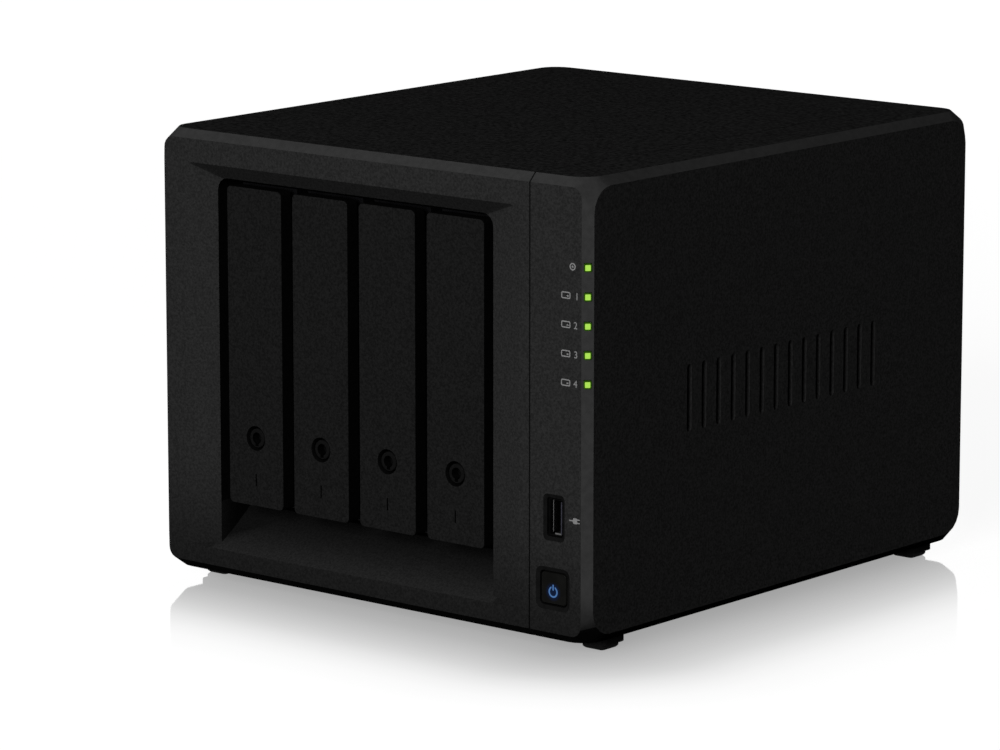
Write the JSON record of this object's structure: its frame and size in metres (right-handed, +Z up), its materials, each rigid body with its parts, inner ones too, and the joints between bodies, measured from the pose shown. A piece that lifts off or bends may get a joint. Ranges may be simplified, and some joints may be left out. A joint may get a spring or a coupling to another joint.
{
  "type": "nas enclosure",
  "caption": "Desktop network storage enclosure with slide-out drive trays, hinged locking tray fronts, finger scoop, power button, front USB port and rear fans.",
  "frame": {"origin": "on the floor, under the middle of the overall box", "axes": "+X to the right seen from the front, +Y from the front to the rear, +Z up"},
  "size_m": [0.199, 0.223, 0.166],
  "materials": {
    "shell": "fine spark-eroded texture, black",
    "tray": "fine satin texture, black",
    "lock": "black satin",
    "clip": "satin dark gray",
    "guide": "plain moulded black",
    "gloss": "polished black",
    "light": "clear light guide, lit yellow-green",
    "steel": "plain zinc-coated sheet",
    "painted": "black powder coat",
    "port": "nickel-plated shell",
    "board": "green solder mask",
    "socket": "plain moulded black",
    "alloy": "plain extruded",
    "cell": "stamped steel can",
    "fan": "plain moulded black",
    "rubber": "matt"
  },
  "bodies": {
    "case": {"left_cover": "shell", "right_cover": "shell", "foot_front_left": "rubber", "foot_rear_left": "rubber", "foot_front_right": "rubber", "foot_rear_right": "rubber", "status_light_guide": "light", "front_panel_board": "board", "backplane_board": "board", "main_board": "board", "memory_module": "board", "power_switch": "socket", "memory_socket": "socket", "backplane_socket": "socket", "reset_switch": "socket", "front_usb_socket": "port", "rear_usb_socket": "port", "lan_socket_1": "port", "lan_socket_2": "port", "power_inlet": "port", "drive_cage": "steel", "bay_guide_lower": "guide", "bay_guide_upper": "guide", "heat_sink": "alloy", "clock_battery": "cell", "rear_panel": "painted", "sata_connector_1": "socket", "sata_connector_2": "socket", "sata_connector_3": "socket", "sata_connector_4": "socket", "fan_frame_1": "fan", "fan_frame_2": "fan"},
    "tray_1": {"tray_body_1": "tray", "clip_lower_1": "clip", "clip_upper_1": "clip"},
    "handle_1": {"tray_handle_1": "tray"},
    "lock_1": {"tray_lock_1": "lock"},
    "tray_2": {"tray_body_2": "tray", "clip_lower_2": "clip", "clip_upper_2": "clip"},
    "handle_2": {"tray_handle_2": "tray"},
    "lock_2": {"tray_lock_2": "lock"},
    "tray_3": {"tray_body_3": "tray", "clip_lower_3": "clip", "clip_upper_3": "clip"},
    "handle_3": {"tray_handle_3": "tray"},
    "lock_3": {"tray_lock_3": "lock"},
    "tray_4": {"tray_body_4": "tray", "clip_lower_4": "clip", "clip_upper_4": "clip"},
    "handle_4": {"tray_handle_4": "tray"},
    "lock_4": {"tray_lock_4": "lock"},
    "power_button": {"power_button": "gloss"},
    "reset_button": {"reset_button": "socket"},
    "fan_rotor_1": {"fan_rotor_1": "fan"},
    "fan_rotor_2": {"fan_rotor_2": "fan"}
  },
  "joints": [
    {"name": "tray_slide_1", "type": "slide", "parent": "case", "child": "tray_1", "axis": [0, -1, 0], "range_m": [0, 0.13]},
    {"name": "handle_hinge_1", "type": "hinge", "parent": "tray_1", "child": "handle_1", "pos_m": [-0.0559, -0.1036, 0.1432], "axis": [-1, 0, 0], "range_deg": [0, 40]},
    {"name": "lock_turn_1", "type": "hinge", "parent": "handle_1", "child": "lock_1", "pos_m": [-0.0559, -0.105, 0.0568], "axis": [0, 1, 0], "range_deg": [0, 90]},
    {"name": "tray_slide_2", "type": "slide", "parent": "case", "child": "tray_2", "axis": [0, -1, 0], "range_m": [0, 0.13]},
    {"name": "handle_hinge_2", "type": "hinge", "parent": "tray_2", "child": "handle_2", "pos_m": [-0.0246, -0.1036, 0.1432], "axis": [-1, 0, 0], "range_deg": [0, 40]},
    {"name": "lock_turn_2", "type": "hinge", "parent": "handle_2", "child": "lock_2", "pos_m": [-0.0246, -0.105, 0.0568], "axis": [0, 1, 0], "range_deg": [0, 90]},
    {"name": "tray_slide_3", "type": "slide", "parent": "case", "child": "tray_3", "axis": [0, -1, 0], "range_m": [0, 0.13]},
    {"name": "handle_hinge_3", "type": "hinge", "parent": "tray_3", "child": "handle_3", "pos_m": [0.0067, -0.1036, 0.1432], "axis": [-1, 0, 0], "range_deg": [0, 40]},
    {"name": "lock_turn_3", "type": "hinge", "parent": "handle_3", "child": "lock_3", "pos_m": [0.0067, -0.105, 0.0568], "axis": [0, 1, 0], "range_deg": [0, 90]},
    {"name": "tray_slide_4", "type": "slide", "parent": "case", "child": "tray_4", "axis": [0, -1, 0], "range_m": [0, 0.13]},
    {"name": "handle_hinge_4", "type": "hinge", "parent": "tray_4", "child": "handle_4", "pos_m": [0.038, -0.1036, 0.1432], "axis": [-1, 0, 0], "range_deg": [0, 40]},
    {"name": "lock_turn_4", "type": "hinge", "parent": "handle_4", "child": "lock_4", "pos_m": [0.038, -0.105, 0.0568], "axis": [0, 1, 0], "range_deg": [0, 90]},
    {"name": "power_button_press", "type": "slide", "parent": "case", "child": "power_button", "axis": [0, 1, 0], "range_m": [0, 0.0008], "stiffness_N_per_m": 400, "springref_m": -0.001},
    {"name": "reset_button_press", "type": "slide", "parent": "case", "child": "reset_button", "axis": [0, -1, 0], "range_m": [0, 0.0005], "stiffness_N_per_m": 300, "springref_m": -0.001},
    {"name": "fan_spin_1", "type": "hinge", "parent": "case", "child": "fan_rotor_1", "pos_m": [-0.0464, 0.095, 0.1165], "axis": [0, 1, 0], "continuous": true},
    {"name": "fan_spin_2", "type": "hinge", "parent": "case", "child": "fan_rotor_2", "pos_m": [0.0464, 0.095, 0.1165], "axis": [0, 1, 0], "continuous": true}
  ]
}
